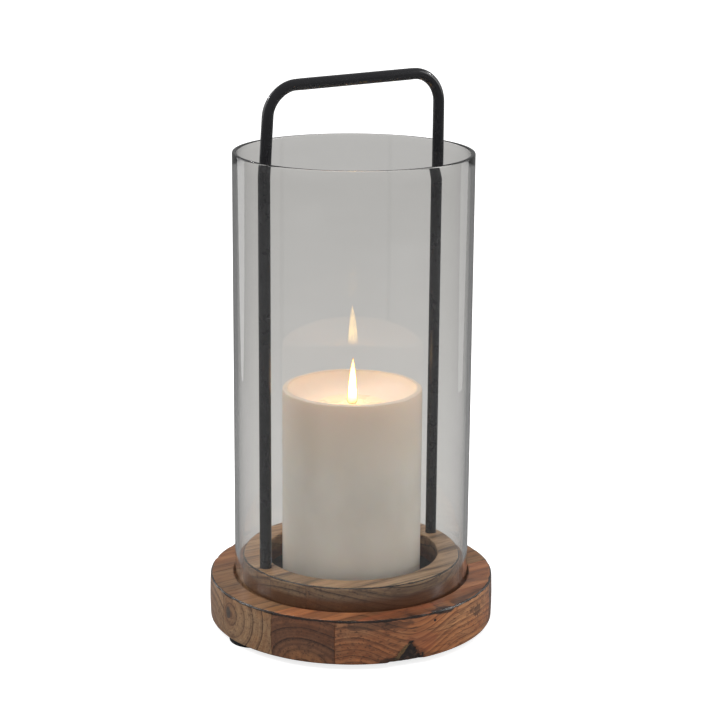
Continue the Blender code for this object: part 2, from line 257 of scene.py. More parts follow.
def tube_mesh(name, path, radius, sides=40, outline=None):
    """A capped tube along points in a plane of constant y; outline scales its radius."""
    verts = []
    count = len(path)
    for number, place in enumerate(path):
        ahead = Vector(path[min(number + 1, count - 1)]) - Vector(path[max(number - 1, 0)])
        ahead.normalize()
        across = Vector((0.0, 1.0, 0.0))
        other = ahead.cross(across).normalized()
        for side in range(sides):
            angle = 2 * pi * side / sides
            size = radius * (outline(angle, number) if outline else 1.0)
            verts.append(Vector(place) + across * (size * cos(angle)) + other * (size * sin(angle)))
    faces = [tuple(range(sides)), tuple(range((count - 1) * sides, count * sides))]
    for ring in range(count - 1):
        for side in range(sides):
            after = (side + 1) % sides
            low, high = ring * sides, (ring + 1) * sides
            faces.append((low + side, low + after, high + after, high + side))
    return mesh_from(name, verts, faces)


def cylinder_mesh(radius, low, high, place, sides=48):
    """A capped cylinder along Z, to cut with."""
    mesh = bpy.data.meshes.new("cutter")
    shape = bmesh.new()
    middle = Matrix.Translation((place[0], place[1], (low + high) / 2))
    bmesh.ops.create_cone(
        shape,
        cap_ends=True,
        segments=sides,
        radius1=radius,
        radius2=radius,
        depth=high - low,
        matrix=middle,
    )
    shape.to_mesh(mesh)
    shape.free()
    return mesh


def added(name, data):
    """A new object in the scene."""
    made = bpy.data.objects.new(name, data)
    bpy.context.scene.collection.objects.link(made)
    return made


def piece(name, mesh, material, body, replaced=()):
    """Show a mesh as a piece that rides on a body and may stand for CAD nodes."""
    made = added(name, mesh)
    mesh.materials.clear()
    mesh.materials.append(material)
    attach(made, body)
    if replaced:
        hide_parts(*replaced)
    return made


def cut(target, cutters):
    """Take cutter meshes out of a piece for good."""
    for mesh in cutters:
        tool = added("cutter", mesh)
        boolean = target.modifiers.new("cut", "BOOLEAN")
        boolean.operation = "DIFFERENCE"
        boolean.solver = "EXACT"
        boolean.object = tool
        bpy.context.view_layer.update()
        graph = bpy.context.evaluated_depsgraph_get()
        made = bpy.data.meshes.new_from_object(target.evaluated_get(graph))
        target.modifiers.clear()
        made.name = target.data.name + "_cut"
        target.data = made
        bpy.data.objects.remove(tool, do_unlink=True)
    target.data.set_sharp_from_angle(angle=SHARP_ANGLE)


# ---- Material helpers ----

def colour(red, green, blue):
    """A linear colour from screen values of 0 to 255."""
    def linear(value):
        share = value / 255
        return share / 12.92 if share <= 0.04045 else ((share + 0.055) / 1.055) ** 2.4
    return (linear(red), linear(green), linear(blue), 1.0)


def grey(value):
    """A linear grey."""
    return (value, value, value, 1.0)


class Look:
    """The nodes of one material, or of the world, with short ways to add to them."""

    def __init__(self, name, kinds=bpy.data.materials, output="OutputMaterial"):
        self.material = kinds.new(name)
        self.material.use_nodes = True
        self.tree = self.material.node_tree
        self.tree.nodes.clear()
        self.output = self.add(output)
        self.place = self.add("TexCoord").outputs["Object"]

    def add(self, kind, inputs=None, **settings):
        """Add a node; an input is a number, a colour or another node's output."""
        node = self.tree.nodes.new("ShaderNode" + kind)
        for key, value in settings.items():
            setattr(node, key, value)
        for key, value in (inputs or {}).items():
            if isinstance(value, bpy.types.NodeSocket):
                self.tree.links.new(value, node.inputs[key])
            else:
                node.inputs[key].default_value = value
        return node

    def sum(self, operation, first, second=0.0, third=0.0):
        """A Math node."""
        values = {0: first, 1: second, 2: third}
        return self.add("Math", values, operation=operation).outputs[0]

    def plus(self, first, second):
        """Two values added."""
        return self.sum("ADD", first, second)

    def minus(self, first, second):
        """The second value taken from the first."""
        return self.sum("SUBTRACT", first, second)

    def times(self, first, second):
        """Two values multiplied."""
        return self.sum("MULTIPLY", first, second)

    def times_plus(self, first, second, third):
        """Two values multiplied, plus a third."""
        return self.sum("MULTIPLY_ADD", first, second, third)

    def apart(self, first, second):
        """How far apart two values are."""
        return self.sum("ABSOLUTE", self.minus(first, second))

    def along(self, axis, place=None):
        """A place's X, Y or Z."""
        return self.add("SeparateXYZ", {0: self.place if place is None else place}).outputs[axis]

    def vector(self, operation, first, second=(0.0, 0.0, 0.0)):
        """A Vector Math node."""
        node = self.add("VectorMath", {0: first, 1: second}, operation=operation)
        return node.outputs["Value" if operation == "LENGTH" else "Vector"]

    def scaled(self, place, scale, shift=(0.0, 0.0, 0.0)):
        """A place times a scale for each axis, plus a shift."""
        node = self.add("VectorMath", {0: place, 1: scale, 2: shift}, operation="MULTIPLY_ADD")
        return node.outputs["Vector"]

    def turned(self, angle, axis):
        """The place turned about an axis."""
        inputs = {"Vector": self.place, "Angle": angle}
        return self.add("VectorRotate", inputs, rotation_type=axis).outputs[0]

    def noise(self, scale, detail=2.0, rough=0.5, warp=0.0, place=None, shift=(0.0,) * 3, output=0):
        """A Noise Texture at a place times a scale plus a shift: its value, or 1 for its colour."""
        steps = scale if isinstance(scale, tuple) else (scale,) * 3
        inputs = {
            "Vector": self.scaled(self.place if place is None else place, steps, shift),
            "Scale": 1.0,
            "Detail": detail,
            "Roughness": rough,
            "Distortion": warp,
        }
        return self.add("TexNoise", inputs).outputs[output]

    def span(self, value, low, high, to_low=0.0, to_high=1.0):
        """Move a value smoothly from one span to another."""
        inputs = {0: value, 1: low, 2: high, 3: to_low, 4: to_high}
        return self.add("MapRange", inputs, interpolation_type="SMOOTHSTEP").outputs[0]

    def mix(self, share, first, second, blend="MIX"):
        """Mix two colours."""
        inputs = {0: share, 6: first, 7: second}
        node = self.add("Mix", inputs, data_type="RGBA", blend_type=blend)
        return node.outputs[2]

    def tint(self, base, share, tone):
        """A colour multiplied by a tone, as far as share says."""
        return self.mix(share, base, self.mix(1.0, base, (*tone, 1.0), "MULTIPLY"))

    def paint(self, base, share, strength, screen):
        """A colour covered by one in screen values, as far as share times strength says."""
        return self.mix(self.times(share, strength), base, colour(*screen))

    def ramp(self, share, stops):
        """A grey ramp through (place, value) stops."""
        node = self.add("ValToRGB", {"Fac": share})
        while len(node.color_ramp.elements) < len(stops):
            node.color_ramp.elements.new(0.5)
        for element, (place, value) in zip(node.color_ramp.elements, stops):
            element.position = place
            element.color = grey(value)
        return node.outputs["Color"]

    def blob(self, centre, size, ragged=0.0, grain=150.0, seed=0.0):
        """1 inside an ellipsoid, 0 outside, with an uneven edge."""
        away = self.vector("SUBTRACT", self.place, centre)
        away = self.vector("LENGTH", self.vector("DIVIDE", away, size))
        if ragged:
            wave = self.noise(grain, 3.0, shift=(seed,) * 3)
            away = self.times_plus(wave, ragged, away)
            away = self.minus(away, ragged / 2)
        return self.span(away, 1.12, 0.86)

    def bump(self, height, strength, distance, under=None):
        """A Bump node, over another one or alone."""
        inputs = {"Height": height, "Strength": strength, "Distance": distance}
        if under is not None:
            inputs["Normal"] = under
        return self.add("Bump", inputs).outputs[0]

    def principled(self, **inputs):
        """The Principled shader; an underscore in a name stands for a space."""
        named = {key.replace("_", " "): value for key, value in inputs.items()}
        return self.add("BsdfPrincipled", named).outputs[0]

    def show(self, shader):
        """Make this shader the surface."""
        self.tree.links.new(shader, self.output.inputs["Surface"])
        return self.material

    def surface(self, **inputs):
        """Make the Principled shader the surface."""
        return self.show(self.principled(**inputs))


# ---- Materials ----

GRAIN_DARK = colour(46, 31, 24)
PALE = (1.45, 1.38, 1.28)


def rings(look, place, pith, spacing, seed, sway=0.01, dip=None):
    """Growth rings round a pith along X: dark lines, fine bands, distance out and fibre noise."""
    slow = look.noise((6.0, 13.0, 13.0), output=1, place=place, shift=(seed, 0.0, seed))
    quick = look.noise((26.0, 70.0, 70.0), output=1, place=place, shift=(0.0, seed, 0.0))
    slow = look.scaled(slow, (0.0, sway, sway), (0.0, -sway / 2, -sway / 2))
    wiggle = sway * 0.16
    quick = look.scaled(quick, (0.0, wiggle, wiggle), (0.0, -wiggle / 2, -wiggle / 2))
    bent = look.vector("ADD", look.vector("ADD", place, slow), quick)
    if dip:
        x = look.along("X", place)
        away = look.apart(x, dip[0])
        drop = look.span(away, dip[1], 0.0, 0.0, dip[2])
        bent = look.vector("ADD", bent, look.add("CombineXYZ", {"Z": drop}).outputs[0])
    away = look.vector("SUBTRACT", bent, (0.0, pith[0], pith[1]))
    distance = look.vector("LENGTH", look.vector("MULTIPLY", away, (0.0, 1.0, 1.0)))
    phase = look.sum("DIVIDE", distance, spacing)
    stops = ((0.0, 0.0), (0.55, 0.08), (0.82, 0.40), (0.90, 1.0), (0.95, 0.35), (1.0, 0.0))
    line = look.ramp(look.sum("FRACT", phase), stops)
    year = look.add("TexWhiteNoise", {"W": look.sum("FLOOR", phase)}, noise_dimensions="1D")
    line = look.times(line, look.times_plus(year.outputs[0], 0.6, 0.6))
    fine = look.noise((30.0, 420.0, 420.0), 3.0, 0.6, place=bent)
    line = look.times(line, look.span(fine, 0.25, 0.65, 0.6, 1.1))
    band = look.add("CombineXYZ", {"X": distance, "Y": seed}).outputs[0]
    band = look.noise((620.0, 1.0, 1.0), place=band)
    return line, look.span(band, 0.32, 0.68), distance, fine


def wood(
    name, pith, spacing, early, late, blush, seed, sway=0.01, dip=None, core=None, top=None,
    marks=None, strips=None, edge=None, wall=None,
):
    """Varnished solid wood whose grain runs along X. marks adds a board's own blemishes, and on the
    front board painted light; top tints the top apart from the sides as painted light and shade,
    wall paints the sides, and edge paints a dark reflection along the rounded edge.
    """
    look = Look(name)
    early, late = colour(*early), colour(*late)
    place = look.turned(-BOARD_SLANT, "Z_AXIS")
    height = look.along("Z")
    joint = None
    if strips:
        joint, place = glue_joints(look, place, strips)
    line, band, distance, fine = rings(look, place, pith, spacing, seed, sway, dip)
    base = look.mix(look.times(band, 0.50), early, late)
    if core:
        inner = look.noise((20.0, 60.0, 60.0), place=place, shift=(seed, 0.0, 0.0))
        inner = look.times_plus(inner, -0.008, look.plus(distance, 0.004))
        inner = look.span(inner, core[0], core[0] * 0.6)
        base = look.paint(base, inner, 0.85, core[1])
    patch = look.noise((10.0, 30.0, 30.0), 3.0, 0.6, place=place, shift=(seed, seed, 0.0))
    base = look.tint(base, look.span(patch, 0.42, 0.64), blush)
    streak = look.noise((12.0, 240.0, 240.0), 5.0, 0.7, place=place, shift=(0.0, seed, 0.0))
    base = look.mix(look.span(streak, 0.46, 0.70, 0.0, 0.62), base, late)
    base = look.tint(base, look.span(streak, 0.44, 0.28, 0.0, 0.55), PALE)
    base = look.mix(look.span(fine, 0.55, 0.30, 0.0, 0.30), base, early)
    base = look.mix(line, base, look.mix(0.7, late, GRAIN_DARK))
    pores = look.noise((60.0, 900.0, 900.0), 1.0, place=place, shift=(seed, 0.0, 0.0))
    pores = look.span(pores, 0.60, 0.70)
    base = look.mix(look.times(pores, 0.6), base, GRAIN_DARK)
    heart = look.span(distance, 0.0035, 0.0015)
    base = look.paint(base, heart, 0.85, (62, 56, 52))
    # Painted light and shade: the flat top tinted apart from the side by the top tone
    if top:
        flat = look.span(height, DISC_TOP_Z - 0.0012, DISC_TOP_Z - 0.0004)
        base = look.tint(base, flat, top)
    if wall:
        base = wall(look, base, height)
    depth = look.times_plus(pores, -0.8, look.times(fine, 0.5))
    gloss = look.span(streak, 0.3, 0.8, 0.34, 0.50)
    if marks:
        base, gloss = marks(look, base, gloss)
    if joint is not None:
        base = look.mix(joint, base, GRAIN_DARK)
        depth = look.times_plus(joint, -2.0, depth)
    # Painted dark reflection: a near black line along the rounded top edge, with less roughness
    # there
    if edge:
        dark = painted_dark_edge(look, edge)
        base = look.paint(base, dark, 0.95, (26, 20, 18))
        gloss = look.span(dark, 0.0, 1.0, gloss, 0.20)
    hollows = look.noise((60.0, 90.0, 90.0), place=place)
    normal = look.bump(hollows, 0.25, 0.0004)
    normal = look.bump(depth, 0.40, 0.00014, normal)
    return look.surface(
        Base_Color=base,
        Roughness=gloss,
        Normal=normal,
        Specular_IOR_Level=0.45,
        Coat_Weight=0.35,
        Coat_Roughness=0.18,
    )


def glue_joints(look, place, strips):
    """Thin dark lines at each y in strips, and the place moved along X by each strip's own step."""
    y = look.along("Y", place)
    wave = look.noise(40.0, 1.0, place=place)
    y = look.plus(y, look.times(look.minus(wave, 0.5), 0.0006))
    joint = None
    steps = None
    for number, spot in enumerate(strips, start=1):
        away = look.apart(y, spot)
        line = look.span(away, 0.0004, 0.0001)
        past = look.sum("GREATER_THAN", y, spot)
        past = look.times(past, 0.137 * number)
        joint = line if joint is None else look.sum("MAXIMUM", joint, line)
        steps = past if steps is None else look.plus(steps, past)
    moved = look.add("CombineXYZ", {"X": steps, "Z": look.times(steps, 0.045)}).outputs[0]
    return look.times(joint, 0.5), look.vector("ADD", place, moved)


def painted_dark_edge(look, edge):
    """1 on the rounded edge at (radius, z), in a band of uneven width: a painted dark reflection
    along the varnished edge.
    """
    radius, height, width = edge
    out = look.vector("LENGTH", look.vector("MULTIPLY", look.place, (1.0, 1.0, 0.0)))
    out = look.minus(out, radius)
    up = look.minus(look.along("Z"), height)
    flat = look.add("CombineXYZ", {"X": out, "Y": up}).outputs[0]
    away = look.vector("LENGTH", flat)
    wave = look.noise((70.0, 70.0, 160.0), 4.0, 0.7)
    away = look.times_plus(look.minus(wave, 0.5), width * 2.4, away)
    return look.span(away, width * 1.25, width * 0.60)


def collar_wall_shade_and_band(look, base, height):
    """The collar's sides: painted shade makes them darker than its top, with a red-brown band low
    down.
    """
    # Painted shade: the sides darker than the top
    shade = look.span(height, COLLAR_HIGH.z - 0.0008, COLLAR_HIGH.z - 0.003)
    base = look.tint(base, shade, (0.60, 0.56, 0.52))
    wave = look.noise((14.0, 14.0, 60.0), 3.0)
    line = look.times_plus(wave, 0.012, height)
    low = look.span(line, DISC_TOP_Z + 0.0145, DISC_TOP_Z + 0.0105)
    return look.paint(base, low, 0.75, (92, 56, 38))


def front_board_marks_and_painted_light(look, base, gloss):
    """Bark trapped in the front board, with ochre beside it, small knots and grey smudges, and
    painted light that makes the board lighter and paler towards its right end.
    """
    # Painted light: the board lighter and paler towards its right end, where the side catches more
    # light and a grazing sheen
    right = look.span(look.along("X"), -0.045, 0.02)
    base = look.tint(base, right, (1.36, 1.34, 1.22))
    streaks = look.noise((30.0, 320.0, 320.0), 3.0, 0.6)
    warm = look.blob((-0.018, -0.0905, 0.0365), (0.034, 0.005, 0.0012), 0.9, 60.0, 3.0)
    warm = look.times(warm, look.span(streaks, 0.35, 0.62, 0.10, 0.55))
    base = look.mix(warm, base, colour(152, 80, 48))
    russet = look.blob((-0.0074, -0.1035, 0.0165), (0.012, 0.02, 0.0085), 0.9, 110.0, 3.0)
    base = look.paint(base, russet, 0.35, (150, 80, 52))
    front = look.sum("LESS_THAN", look.along("Y"), -0.085)
    rough = look.noise(190.0, 4.0, 0.65)
    rough = look.times(look.minus(rough, 0.5), front)
    halo = look.times(bark_share(look, rough, 1.9, 1.15, 0.9), front)
    base = look.paint(base, halo, 0.45, (74, 48, 34))
    bark = look.times(bark_share(look, rough, 1.10, 0.92, 1.0), front)
    flake = look.noise((260.0, 260.0, 420.0), 3.0, 0.7)
    brown = look.mix(look.span(flake, 0.45, 0.7), colour(40, 31, 30), colour(78, 58, 50))
    base = look.mix(bark, base, brown)
    ochre = look.times(ochre_share(look, rough), front)
    tan = look.mix(look.span(flake, 0.4, 0.65), colour(134, 104, 66), colour(96, 76, 50))
    base = look.mix(look.times(ochre, 0.9), base, tan)
    gloss = look.span(look.sum("MAXIMUM", bark, ochre), 0.0, 1.0, gloss, 0.6)
    spots = (
        ((-0.0319, -0.101, 0.0052), (0.007, 0.02, 0.0028), 1.1, 300.0, 0.75),
        ((PINHOLE_X, -0.1037, PINHOLE_Z), (0.0012, 0.02, 0.0011), 0.4, 500.0, 0.95),
        ((0.0125, -0.102, 0.036), (0.0105, 0.0042, 0.0028), 1.0, 240.0, 0.90),
        ((-0.04, -0.096, 0.0325), (0.026, 0.02, 0.003), 1.5, 130.0, 0.50),
        ((0.049, -0.0915, 0.0245), (0.005, 0.02, 0.0042), 2.4, 520.0, 0.60),
        ((0.042, -0.095, 0.0275), (0.0036, 0.02, 0.0022), 2.2, 520.0, 0.40),
        ((0.03, -0.099, 0.03), (0.004, 0.02, 0.0018), 1.7, 420.0, 0.35),
    )
    for centre, size, ragged, grain, strength in spots:
        dark = look.blob(centre, size, ragged, grain, size[0] * 900)
        base = look.paint(base, dark, strength, (44, 34, 31))
        gloss = look.span(dark, 0.0, 1.0, gloss, 0.55)
    return base, gloss


def bark_share(look, rough, start, end, strength):
    """How much a point of the front board lies in the bark, a rough peak on the lower edge."""
    height = look.along("Z")
    side = look.apart(look.along("X"), look.times_plus(height, BARK_LEAN, BARK_X))
    width = look.times(look.minus(BARK_TOP_Z, height), BARK_SPREAD)
    away = look.sum("DIVIDE", side, look.sum("MAXIMUM", width, BARK_TIP))
    away = look.times_plus(rough, 2.0, away)
    below = look.span(height, BARK_TOP_Z + 0.0012, BARK_TOP_Z - 0.0004)
    return look.times(look.span(away, start, end, 0.0, strength), below)


def ochre_share(look, rough):
    """How much a point lies in the ochre strip along the bark's left slope."""
    run = look.minus(BARK_TOP_Z - 0.0012, look.along("Z"))
    middle = look.times_plus(run, -0.80, BARK_X + 0.002)
    away = look.apart(look.along("X"), middle)
    away = look.times_plus(rough, 0.004, away)
    inside = look.span(run, 0.0, 0.0015)
    return look.times(inside, look.span(away, 0.0026, 0.0016))


def end_grain_marks(look, base, gloss):
    """A grey knot in the end grain, with a brown halo and dark bands round it."""
    middle = (END_FACE_X, END_PITH[0] - 0.0004, END_PITH[1] - 0.0007)
    away = look.vector("SUBTRACT", look.place, middle)
    stretch = look.vector("MULTIPLY", away, (0.0, 1.0, 0.72))
    wave = look.noise((40.0, 60.0, 60.0))
    out = look.times_plus(wave, 0.004, look.vector("LENGTH", stretch))
    ends = look.span(look.along("X"), -0.06, -0.08)
    turns = look.sum("SINE", look.times(out, 3300.0))
    near = look.span(out, 0.019, 0.008)
    bands = look.times(look.times(look.span(turns, -0.4, 0.9), near), ends)
    base = look.paint(base, bands, 0.42, (96, 62, 40))
    brown = look.times(look.span(out, 0.0125, 0.0075), ends)
    base = look.paint(base, brown, 0.40, (118, 78, 50))
    knot = look.blob((END_FACE_X, *END_PITH), (0.02, 0.003, 0.0046), 0.5, 260.0, 7.0)
    base = look.paint(base, knot, 0.8, (62, 60, 58))
    return base, gloss


def powder_coat(name, base, roughness, lacquer=0.0):
    """Satin black powder coat on steel, with its fine orange peel and, if asked for, a lacquer."""
    look = Look(name)
    peel = look.noise(900.0)
    wear = look.noise(35.0, 4.0, 0.65)
    worn = tuple(1.2 * part for part in base[:3]) + (1.0,)
    tone = look.mix(look.span(wear, 0.35, 0.75), base, worn)
    rough = look.span(wear, 0.3, 0.75, roughness - 0.05, roughness + 0.07)
    return look.surface(
        Base_Color=tone,
        Roughness=rough,
        Normal=look.bump(peel, 0.12, 0.0001),
        Specular_IOR_Level=0.26,
        Coat_Weight=lacquer,
        Coat_Roughness=0.07,
    )


def steel(name):
    """Zinc-plated steel with turning marks."""
    look = Look(name)
    lines = look.noise((300.0, 300.0, 4000.0))
    stain = look.noise(220.0, 3.0)
    tone = look.mix(look.span(stain, 0.35, 0.7), colour(176, 176, 172), colour(128, 130, 132))
    return look.surface(
        Base_Color=tone,
        Metallic=1.0,
        Roughness=look.span(lines, 0.3, 0.7, 0.26, 0.44),
        Normal=look.bump(lines, 0.2, 0.00005),
    )


def rubber(name):
    """Glossy black moulded rubber, a little dusty."""
    look = Look(name)
    dust = look.noise(160.0, 4.0, 0.7)
    tone = look.mix(look.span(dust, 0.4, 0.75), colour(24, 24, 26), colour(44, 42, 41))
    return look.surface(
        Base_Color=tone,
        Roughness=look.span(dust, 0.3, 0.8, 0.28, 0.5),
        Normal=look.bump(dust, 0.2, 0.0002),
    )


def glass(name):
    """Clear glass with the faint waves of a drawn tube; lamps shine through it."""
    look = Look(name)
    waves = look.noise((14.0, 14.0, 5.0), 1.0)
    specks = look.noise((90.0, 90.0, 60.0), 3.0)
    clear = look.principled(
        Base_Color=GLASS_TINT,
        Roughness=look.span(specks, 0.60, 0.80, 0.0, 0.03),
        Transmission_Weight=1.0,
        IOR=1.5,
        Normal=look.bump(waves, 0.10, 0.001),
    )
    open_way = look.add("BsdfTransparent", {"Color": GLASS_SHADOW}).outputs[0]
    lamp = look.add("LightPath").outputs["Is Shadow Ray"]
    return look.show(look.add("MixShader", {0: lamp, 1: clear, 2: open_way}).outputs[0])


def wax(name):
    """Ivory pillar wax: translucent, faintly mottled, finely scratched, with painted firelight that
    makes it warmer in colour and glowing near the flame.
    """
    look = Look(name)
    height = look.along("Z")
    mottle = look.noise((28.0, 28.0, 20.0), 3.0, 0.55)
    base = look.mix(look.span(mottle, 0.35, 0.70), colour(228, 221, 211), colour(220, 212, 201))
    # Painted firelight: the wax's colour turns warmer towards the top, near the flame
    warm = look.span(height, POOL_Z - 0.06, POOL_Z + 0.004)
    base = look.paint(base, warm, 0.6, (236, 214, 192))
    lip = look.span(height, CANDLE_HIGH.z - 0.0022, CANDLE_HIGH.z - 0.0006)
    base = look.tint(base, lip, (0.82, 0.80, 0.80))
    slanted = look.turned(0.5, "X_AXIS")
    scratch = look.noise((90.0, 90.0, 900.0), 3.0, 0.6, warp=0.6, place=slanted)
    scratch = look.span(scratch, 0.60, 0.72)
    base = look.paint(base, scratch, 0.22, (240, 234, 224))
    dents = look.noise((45.0, 45.0, 30.0))
    normal = look.bump(dents, 0.30, 0.0006)
    normal = look.bump(scratch, 0.30, 0.00012, normal)
    return look.surface(
        Base_Color=base,
        Roughness=look.span(mottle, 0.3, 0.7, 0.42, 0.55),
        Normal=normal,
        Subsurface_Weight=0.35,
        Subsurface_Radius=(1.0, 0.62, 0.38),
        Subsurface_Scale=0.01,
        Coat_Weight=0.35,
        Coat_Roughness=0.14,
        # Painted firelight: the wax glows near the flame
        Emission_Color=PAINTED_GLOW_COLOUR,
        Emission_Strength=painted_glow_strength(look),
    )


def painted_glow_strength(look):
    """Painted firelight: a glow given to the wax round the flame's foot, standing in for the
    flame's light soaked up by the wax.
    """
    away = look.vector("LENGTH", look.vector("SUBTRACT", look.place, (0.0, 0.0, POOL_Z + 0.004)))
    mottle = look.noise(70.0)
    away = look.times_plus(mottle, 0.006, away)
    return look.span(away, 0.052, 0.008, 0.0, PAINTED_GLOW)


def melted_wax(name):
    """The liquid pool round the wick: clear and glossy, warm partly in its own tone and partly by
    painted firelight, and given a painted glow.
    """
    look = Look(name)
    swirl = look.noise(60.0, warp=0.6)
    # Warm colour: partly the melted wax's own tone, partly painted firelight
    base = look.mix(look.span(swirl, 0.3, 0.75), colour(240, 216, 190), colour(236, 210, 180))
    return look.surface(
        Base_Color=base,
        Roughness=look.span(swirl, 0.3, 0.7, 0.22, 0.36),
        Normal=look.bump(swirl, 0.05, 0.0005),
        Specular_IOR_Level=0.3,
        Subsurface_Weight=0.4,
        Subsurface_Radius=(1.0, 0.55, 0.3),
        Subsurface_Scale=0.012,
        # Painted firelight: the pool glows near the flame
        Emission_Color=PAINTED_GLOW_COLOUR,
        Emission_Strength=painted_glow_strength(look),
    )


def burnt_wick(name):
    """Cotton wick: cream in the wax, charred black above it."""
    look = Look(name)
    height = look.along("Z")
    strands = look.noise((2200.0, 2200.0, 900.0))
    burnt = look.span(height, POOL_Z - 0.002, POOL_Z + 0.003)
    cotton = look.mix(strands, colour(222, 208, 184), colour(176, 160, 134))
    char = look.mix(strands, colour(30, 24, 20), colour(58, 44, 34))
    return look.surface(
        Base_Color=look.mix(burnt, cotton, char),
        Roughness=look.span(strands, 0.2, 0.8, 0.8, 0.98),
        Normal=look.bump(strands, 0.6, 0.0002),
    )


def flame_heart(name):
    """The flame's bright body, orange at its foot and near white above."""
    look = Look(name)
    height = look.along("Z")
    flicker = look.noise((260.0, 260.0, 90.0), 1.0)
    height = look.times_plus(flicker, 0.002, height)
    rise = look.span(height, FLAME_LOW_Z + 0.001, FLAME_LOW_Z + 0.01)
    tone = look.mix(rise, (1.0, 0.56, 0.22, 1.0), (1.0, 0.66, 0.20, 1.0))
    strength = look.span(height, FLAME_LOW_Z, FLAME_LOW_Z + 0.012, 1.5, FLAME_STRENGTH)
    tip = look.span(height, FLAME_LOW_Z + 0.016, FLAME_LOW_Z + FLAME_HEIGHT, 1.0, 0.55)
    strength = look.times(strength, tip)
    return look.show(look.add("Emission", {"Color": tone, "Strength": strength}).outputs[0])


def flame_rim(name):
    """The flame's thin orange edge, which lets its heart show through."""
    look = Look(name)
    height = look.along("Z")
    rise = look.span(height, FLAME_LOW_Z, FLAME_LOW_Z + FLAME_HEIGHT)
    tone = look.mix(rise, colour(255, 190, 118), colour(255, 168, 112))
    glow = look.add("Emission", {"Color": tone, "Strength": 1.1}).outputs[0]
    clear = look.add("BsdfTransparent").outputs[0]
    share = look.noise(200.0, 1.0)
    share = look.span(share, 0.2, 0.8, 0.50, 0.68)
    return look.show(look.add("MixShader", {0: share, 1: clear, 2: glow}).outputs[0])


# ---- Pieces ----

def disc_profile():
    """The disc's outline: hub, groove, rounded top edge, slightly bulged side, bottom."""
    top = DISC_TOP_Z
    lip = GROOVE_OUTER_RADIUS + GROOVE_EDGE_ROUND
    side_top = (DISC_RADIUS - DISC_TOP_ROUND, top - DISC_TOP_ROUND)
    side_bottom = (DISC_RADIUS - DISC_BOTTOM_ROUND, DISC_BOTTOM_Z + DISC_BOTTOM_ROUND)
    side_steps = 28
    hub = COLLAR_HIGH.x
    wall = GROOVE_OUTER_RADIUS
    wall_top = top - GROOVE_EDGE_ROUND
    points = between(
        (0.0, HUB_TOP_Z), 6, (hub, HUB_TOP_Z), 2, (hub, GROOVE_FLOOR_Z), 3, (wall, GROOVE_FLOOR_Z),
        4, (wall, wall_top),
    )
    points += arc((lip, wall_top), GROOVE_EDGE_ROUND, 180, 90, 3)
    points += between((lip, top), 12, (side_top[0], top))[1:]
    points += arc(side_top, DISC_TOP_ROUND, 90, 0, 8)
    for step in range(1, side_steps):
        share = step / side_steps
        bulge = DISC_BULGE * sin(pi * share)
        points.append((DISC_RADIUS + bulge, side_top[1] + (side_bottom[1] - side_top[1]) * share))
    points += arc(side_bottom, DISC_BOTTOM_ROUND, 0, -90, 5)
    points += between((side_bottom[0], DISC_BOTTOM_Z), 8, (0.0, DISC_BOTTOM_Z))[1:]
    points.append((0.0, DISC_BOTTOM_Z))
    return points


def bark_depth(x, y, z):
    """How far the trapped bark lies below the front of the disc at a point."""
    if y > -0.08:
        return 0.0
    rough = 0.30 * ripple((x, y, z), 160.0) + 0.20 * ripple((x, y, z), 420.0, 4.0)
    width = max((BARK_TOP_Z - z) * BARK_SPREAD, BARK_TIP)
    away = abs(x - BARK_X - BARK_LEAN * z) / width
    deep = BARK_DEPTH * step_up(away + rough, 1.15, 0.80)
    deep *= step_up(z, BARK_TOP_Z, BARK_TOP_Z - 0.002)
    pin = sqrt((x - PINHOLE_X) ** 2 + (z - PINHOLE_Z) ** 2)
    deep = max(deep, PINHOLE_DEPTH * step_up(pin, PINHOLE_RADIUS, PINHOLE_RADIUS - 0.0006))
    return deep * (1 + 0.35 * ripple((x, y, z), 700.0, 2.0))


def worn_disc(x, y, z):
    """The disc's hand finish: a slightly uneven side, dents along its top edge, the bark."""
    out = sqrt(x * x + y * y)
    if out < GROOVE_OUTER_RADIUS - 0.0001:
        return (x, y, z)
    edge = step_up(sqrt((out - DISC_RADIUS) ** 2 + (z - DISC_TOP_Z) ** 2), 0.0032, 0.001)
    dent = max(0.0, ripple((x, y, z), 85.0, 6.0) - 0.15) * 0.0011 * edge
    side = step_up(out, DISC_RADIUS - 0.004, DISC_RADIUS - 0.001)
    wave = 0.00016 * ripple((x, y, z), 40.0) + 0.00006 * ripple((x, y, z), 190.0, 3.0)
    moved = out + side * wave - (dent + bark_depth(x, y, z))
    lower = z - dent * 0.6
    if z > DISC_TOP_Z - 0.0002:
        lower += 0.0001 * ripple((x, y, 0.0), 45.0, 9.0)
    return (x * moved / out, y * moved / out, lower)


def board_mesh(name, disc, low_y, high_y):
    """The part of the disc between two joints, closed at both."""
    slant = Matrix.Rotation(BOARD_SLANT, 3, "Z")
    across = slant @ Vector((0.0, 1.0, 0.0))
    shape = bmesh.new()
    shape.from_mesh(disc)
    for edge_y, away in ((low_y, -1), (high_y, 1)):
        if edge_y is None:
            continue
        place = across * (edge_y - away * GAP / 2)
        geometry = shape.verts[:] + shape.edges[:] + shape.faces[:]
        bmesh.ops.bisect_plane(
            shape,
            geom=geometry,
            dist=1e-7,
            plane_co=place,
            plane_no=across * away,
            clear_outer=True,
        )
        rim = [e for e in shape.edges if e.is_boundary]
        bmesh.ops.holes_fill(shape, edges=rim, sides=0)
    bmesh.ops.triangulate(shape, faces=[f for f in shape.faces if len(f.verts) > 4])
    return finished(bpy.data.meshes.new(name), shape)


